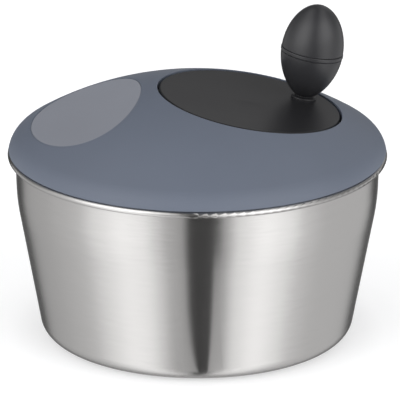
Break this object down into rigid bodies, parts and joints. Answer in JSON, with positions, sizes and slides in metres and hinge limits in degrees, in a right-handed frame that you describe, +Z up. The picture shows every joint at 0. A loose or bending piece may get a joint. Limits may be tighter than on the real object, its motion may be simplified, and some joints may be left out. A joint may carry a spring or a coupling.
{
  "type": "salad spinner",
  "caption": "Crank-driven salad spinner: tapered steel bowl, domed lid with palm scoop, eccentric disc crank with egg knob, geared slotted basket.",
  "frame": {"origin": "centre of the bowl's standing ring, on the table", "axes": "+Z up along the bowl's axis; the palm scoop is on -X and the crank disc on +X, 3.5 degrees round towards +Y; +Y away from the viewer of the front"},
  "size_m": [0.2596, 0.2596, 0.2241],
  "materials": {
    "steel_bowl": "fine horizontal brushing, satin",
    "pivot_white": "smooth satin nylon",
    "pin_steel": "polished",
    "bush_white": "smooth satin nylon",
    "basket_grey": "satin moulded plastic",
    "lid_grey": "fine matte texture",
    "pad_grey": "soft-touch matte",
    "lid_base_grey": "satin moulded plastic",
    "seal_silicone": "soft silicone",
    "screw_steel": "zinc plated",
    "shaft_bush_brass": "sintered",
    "axle_steel": "ground",
    "glide_white": "smooth satin nylon",
    "disc_charcoal": "fine matte texture",
    "crank_bush_brass": "sintered",
    "ring_gear_white": "acetal",
    "gear_screw_steel": "zinc plated",
    "spindle_steel": "ground",
    "nut_steel": "zinc plated",
    "clip_steel": "spring steel",
    "knob_lower_dark": "soft-touch satin",
    "knob_band_dark": "soft-touch satin",
    "knob_upper_dark": "soft-touch satin",
    "sleeve_white": "smooth satin nylon",
    "pinion_white": "acetal",
    "shaft_steel": "ground",
    "ring_steel": "spring steel",
    "washer_steel": "polished",
    "driver_grey": "satin moulded plastic",
    "driver_screw_steel": "zinc plated"
  },
  "bodies": {
    "bowl": {"bowl": "steel_bowl", "pivot_cap": "pivot_white", "pivot_pin": "pin_steel"},
    "basket_carrier": {"basket_bush": "bush_white"},
    "basket": {"basket": "basket_grey"},
    "lid": {"lid_cover": "lid_grey", "palm_pad": "pad_grey", "lid_base": "lid_base_grey", "lid_seal": "seal_silicone", "lid_screws": "screw_steel", "shaft_bush": "shaft_bush_brass", "crank_axle": "axle_steel", "glide_ring": "glide_white"},
    "crank": {"crank_disc": "disc_charcoal", "crank_bush": "crank_bush_brass", "ring_gear": "ring_gear_white", "ring_gear_screws": "gear_screw_steel", "knob_spindle": "spindle_steel", "spindle_nut": "nut_steel", "spindle_clip": "clip_steel"},
    "knob": {"knob_lower": "knob_lower_dark", "knob_band": "knob_band_dark", "knob_upper": "knob_upper_dark", "knob_sleeve": "sleeve_white"},
    "drive": {"pinion": "pinion_white", "drive_shaft": "shaft_steel", "pinion_clip": "ring_steel", "thrust_washer": "washer_steel", "driver_plate": "driver_grey", "driver_screw": "driver_screw_steel"}
  },
  "joints": [
    {"name": "lid_lift", "type": "slide", "parent": "bowl", "child": "lid", "axis": [0, 0, 1], "range_m": [0, 0.3]},
    {"name": "crank_spin", "type": "hinge", "parent": "lid", "child": "crank", "pos_m": [0.03568, 0.00218, 0.16454], "axis": [0.162, 0.0099, 0.9867], "continuous": true},
    {"name": "knob_spin", "type": "hinge", "parent": "crank", "child": "knob", "pos_m": [0.07291, 0.02998, 0.15815], "axis": [0.162, 0.0099, 0.9867], "continuous": true},
    {"name": "drive_spin", "type": "hinge", "parent": "lid", "child": "drive", "pos_m": [0, 0, 0.1546], "axis": [0, 0, 1], "continuous": true},
    {"name": "basket_lift", "type": "slide", "parent": "bowl", "child": "basket_carrier", "axis": [0, 0, 1], "range_m": [0, 0.12]},
    {"name": "basket_spin", "type": "hinge", "parent": "basket_carrier", "child": "basket", "pos_m": [0, 0, 0.016], "axis": [0, 0, 1], "continuous": true}
  ],
  "couplings": [
    {"joint": "drive_spin", "follows": "crank_spin", "ratio": 3.5},
    {"joint": "basket_spin", "follows": "crank_spin", "ratio": 3.5},
    {"joint": "basket_lift", "follows": "lid_lift", "ratio": 0.4}
  ]
}
